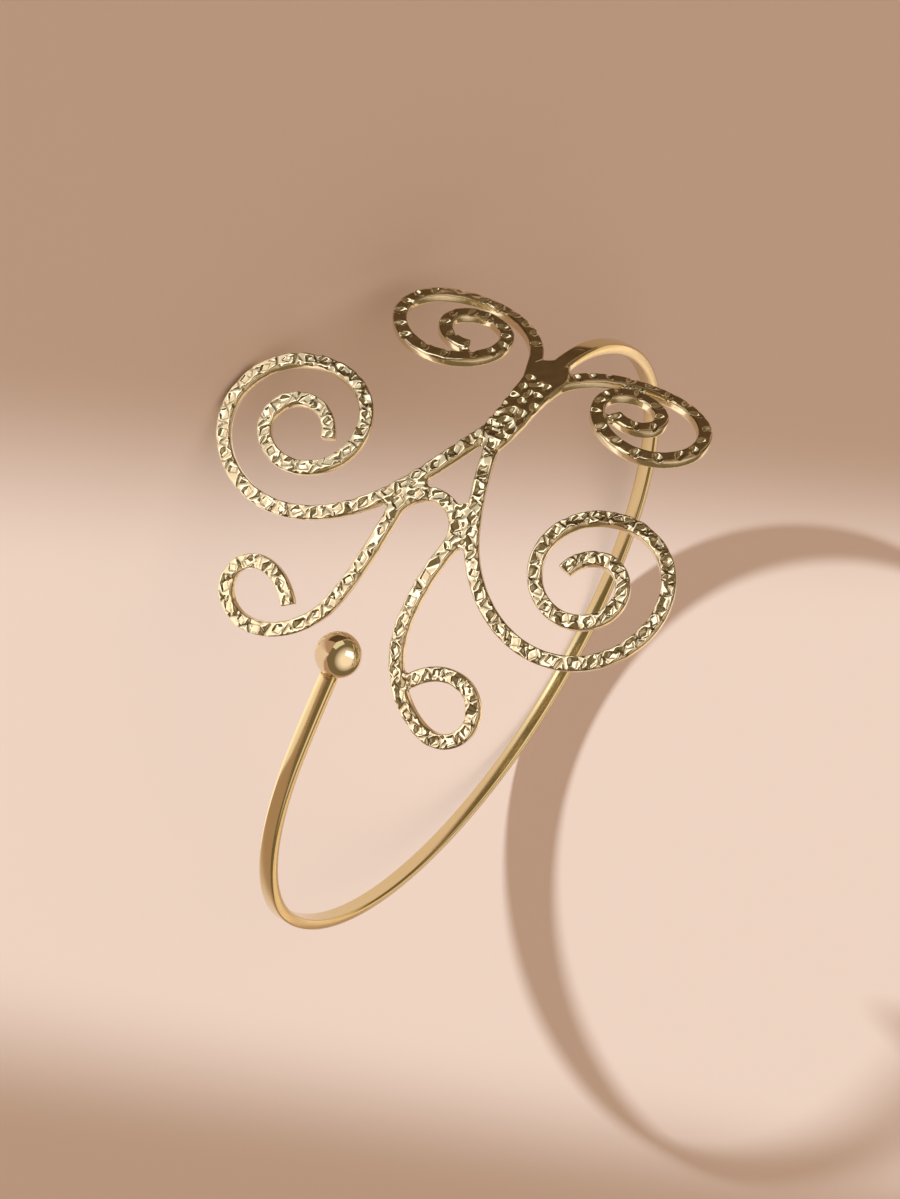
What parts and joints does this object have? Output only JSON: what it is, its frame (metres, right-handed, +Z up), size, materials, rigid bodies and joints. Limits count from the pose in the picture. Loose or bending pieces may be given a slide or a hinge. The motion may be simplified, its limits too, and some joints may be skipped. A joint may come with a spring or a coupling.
{
  "type": "spiral bracelet",
  "caption": "Open bracelet: a polished wire band with a ball at one end and a hammered spray of scrolls at the other.",
  "frame": {"origin": "centre of the footprint, on the table that the bracelet lies on", "axes": "+Z up; the bracelet lies on its side with the ornament at the front, -Y, and the back of the band at +Y; the wrist's axis leans 21 degrees from +Z towards +Y"},
  "size_m": [0.0683, 0.0672, 0.0458],
  "materials": {
    "gold": "pale gold plating, hammered on the scrolls and polished on the band",
    "ball_gold": "mirror-polished gold plating"
  },
  "bodies": {
    "root": {"cuff": "gold", "end_ball": "ball_gold"}
  },
  "joints": []
}
